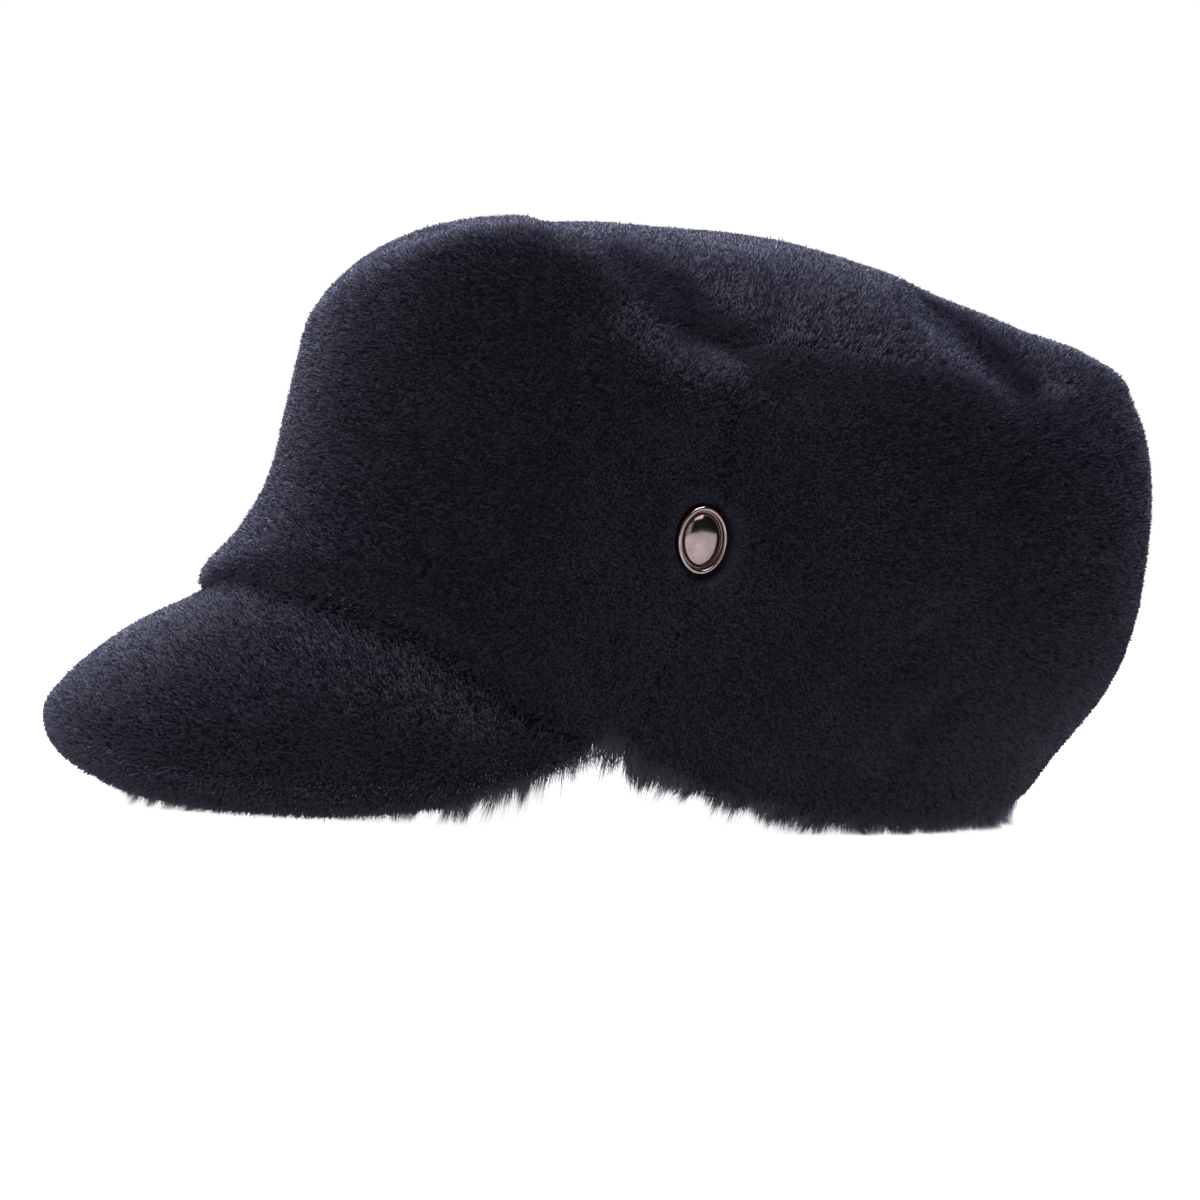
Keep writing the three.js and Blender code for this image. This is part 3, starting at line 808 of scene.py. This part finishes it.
def suede_material(name, dark, light, bump, sheen):
    """The skin side of the pelt, or its fur side under the hair: mottled and finely rough."""
    material, nodes, links, shader = new_material(name)
    coords = nodes.new("ShaderNodeTexCoord")
    cloudy = nodes.new("ShaderNodeTexNoise")
    cloudy.inputs["Scale"].default_value = 45.0
    cloudy.inputs["Detail"].default_value = 5.0
    links.new(coords.outputs["Object"], cloudy.inputs["Vector"])
    colour = ramp(nodes, [(0.3, dark), (0.7, light)])
    links.new(cloudy.outputs["Fac"], colour.inputs["Fac"])
    links.new(colour.outputs["Color"], shader.inputs["Base Color"])
    grain = nodes.new("ShaderNodeTexNoise")
    grain.inputs["Scale"].default_value = 1400.0
    grain.inputs["Detail"].default_value = 3.0
    links.new(coords.outputs["Object"], grain.inputs["Vector"])
    relief = nodes.new("ShaderNodeBump")
    relief.inputs["Strength"].default_value = bump
    relief.inputs["Distance"].default_value = 0.3 * MM
    links.new(grain.outputs["Fac"], relief.inputs["Height"])
    links.new(relief.outputs["Normal"], shader.inputs["Normal"])
    shader.inputs["Roughness"].default_value = 0.92
    shader.inputs["Specular IOR Level"].default_value = 0.1
    shader.inputs["Sheen Weight"].default_value = sheen
    return material


def metal_material(name):
    """Polished dark metal with a rose tint, faintly worn."""
    material, nodes, links, shader = new_material(name)
    coords = nodes.new("ShaderNodeTexCoord")
    wear = nodes.new("ShaderNodeTexNoise")
    wear.inputs["Scale"].default_value = 320.0
    wear.inputs["Detail"].default_value = 4.0
    links.new(coords.outputs["Object"], wear.inputs["Vector"])
    colour = ramp(nodes, list(zip((0.35, 0.65), METAL)))
    links.new(wear.outputs["Fac"], colour.inputs["Fac"])
    links.new(colour.outputs["Color"], shader.inputs["Base Color"])
    rough = nodes.new("ShaderNodeMapRange")
    rough.inputs["To Min"].default_value = 0.08
    rough.inputs["To Max"].default_value = 0.2
    links.new(wear.outputs["Fac"], rough.inputs["Value"])
    links.new(rough.outputs["Result"], shader.inputs["Roughness"])
    shader.inputs["Metallic"].default_value = 1.0
    return material


def make_floor():
    """A white table that glows evenly, as a light table does, so that only a soft shadow falls on it."""
    bpy.ops.mesh.primitive_circle_add(vertices=128, radius=FLOOR_RADIUS, fill_type="NGON")
    floor = bpy.context.object
    floor.name = "floor"
    material, nodes, links, shader = new_material("pale_floor")
    coords = nodes.new("ShaderNodeTexCoord")
    distance = nodes.new("ShaderNodeVectorMath")
    distance.operation = "LENGTH"
    links.new(coords.outputs["Object"], distance.inputs[0])
    fade = nodes.new("ShaderNodeMapRange")
    fade.interpolation_type = "SMOOTHSTEP"
    fade.inputs["From Min"].default_value = FLOOR_FADE["from"]
    fade.inputs["From Max"].default_value = FLOOR_FADE["to"]
    fade.inputs["To Min"].default_value = FLOOR_GREY
    fade.inputs["To Max"].default_value = 0.0
    links.new(distance.outputs["Value"], fade.inputs["Value"])
    links.new(fade.outputs["Result"], shader.inputs["Base Color"])
    shader.inputs["Emission Color"].default_value = (1.0, 1.0, 1.0, 1.0)
    shader.inputs["Emission Strength"].default_value = 1.0
    shader.inputs["Roughness"].default_value = 0.9
    shader.inputs["Specular IOR Level"].default_value = 0.0
    floor.data.materials.append(material)


def area_light(name, place, power, colour):
    """A softbox turned to the cap."""
    light = bpy.data.lights.new(name, "AREA")
    light.size = LIGHT_SIZE
    light.energy = power
    light.color = colour
    obj = bpy.data.objects.new(name, light)
    obj.location = place
    aim = Vector(LIT_POINT) - Vector(place)
    obj.rotation_euler = aim.to_track_quat("-Z", "Y").to_euler()
    bpy.context.scene.collection.objects.link(obj)


def light_scene():
    """Softboxes above, in front and on the far side, a weak fill all round and a white backdrop."""
    for name, (place, power, colour) in LIGHTS.items():
        area_light(name, place, power, colour)
    world = bpy.data.worlds.new("studio")
    bpy.context.scene.world = world
    world.use_nodes = True
    nodes, links = world.node_tree.nodes, world.node_tree.links
    nodes.clear()
    path = nodes.new("ShaderNodeLightPath")
    fill = nodes.new("ShaderNodeBackground")
    fill.inputs["Strength"].default_value = FILL
    backdrop = nodes.new("ShaderNodeBackground")
    backdrop.inputs["Strength"].default_value = 1.0
    for node in (fill, backdrop):
        node.inputs["Color"].default_value = (1.0, 1.0, 1.0, 1.0)
    choose = nodes.new("ShaderNodeMixShader")
    output = nodes.new("ShaderNodeOutputWorld")
    links.new(path.outputs["Is Camera Ray"], choose.inputs["Fac"])
    links.new(fill.outputs["Background"], choose.inputs[1])
    links.new(backdrop.outputs["Background"], choose.inputs[2])
    links.new(choose.outputs["Shader"], output.inputs["Surface"])
    bpy.context.scene.view_settings.view_transform = "Standard"


def make_camera():
    """Square on to the wearer's left from just above level, rolled as the photograph is."""
    data = bpy.data.cameras.new("camera")
    data.sensor_width = 36.0
    data.lens = data.sensor_width * CAMERA_DISTANCE / (PHOTO_PIXELS * PHOTO_SCALE)
    data.clip_start = 0.05
    data.clip_end = 50.0
    camera = bpy.data.objects.new("camera", data)
    back = Vector((math.cos(CAMERA_ELEVATION), 0.0, math.sin(CAMERA_ELEVATION)))
    right = Vector((0.0, 1.0, 0.0))
    up = back.cross(right)
    turn = Matrix.Rotation(CAMERA_ROLL, 3, back)
    axes = Matrix((turn @ right, turn @ up, back)).transposed()
    camera.matrix_world = Matrix.Translation(CAMERA_AIM + back * CAMERA_DISTANCE) @ axes.to_4x4()
    bpy.context.scene.collection.objects.link(camera)
    bpy.context.scene.camera = camera


make_camera()
light_scene()
make_floor()

surfaces = {node: Surface(node) for node in FUR_NODES}
for node, surface in surfaces.items():
    surface.mark_fur([other for name, other in surfaces.items() if name != node])
join_normals(list(surfaces.values()))
seat = Seat("side_badge")

suede = suede_material("suede", *SUEDE, bump=0.5, sheen=0.3)
underfur = suede_material("underfur", *UNDERFUR, bump=0.8, sheen=0.0)
short_fur = fur_material("navy_fur", *SHORT_FUR_SHADED_ROOTS)
long_fur = fur_material("long_navy_fur", *LONG_FUR_SHADED_ROOTS_LIT_TIPS)

for node, surface in surfaces.items():
    skin = pelt(surface, seat, [suede, underfur])
    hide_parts(node)
    hair = coat(surface, seat, short_fur)
    for piece in (skin, hair):
        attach(piece, "root")
for name, plan in FRINGES.items():
    piece = fringe(name, [surfaces[node] for node in plan["nodes"]], long_fur)
    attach(piece, "root")

metal = badge(seat, metal_material("rose_silver"))
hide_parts("side_badge")
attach(metal, "root")
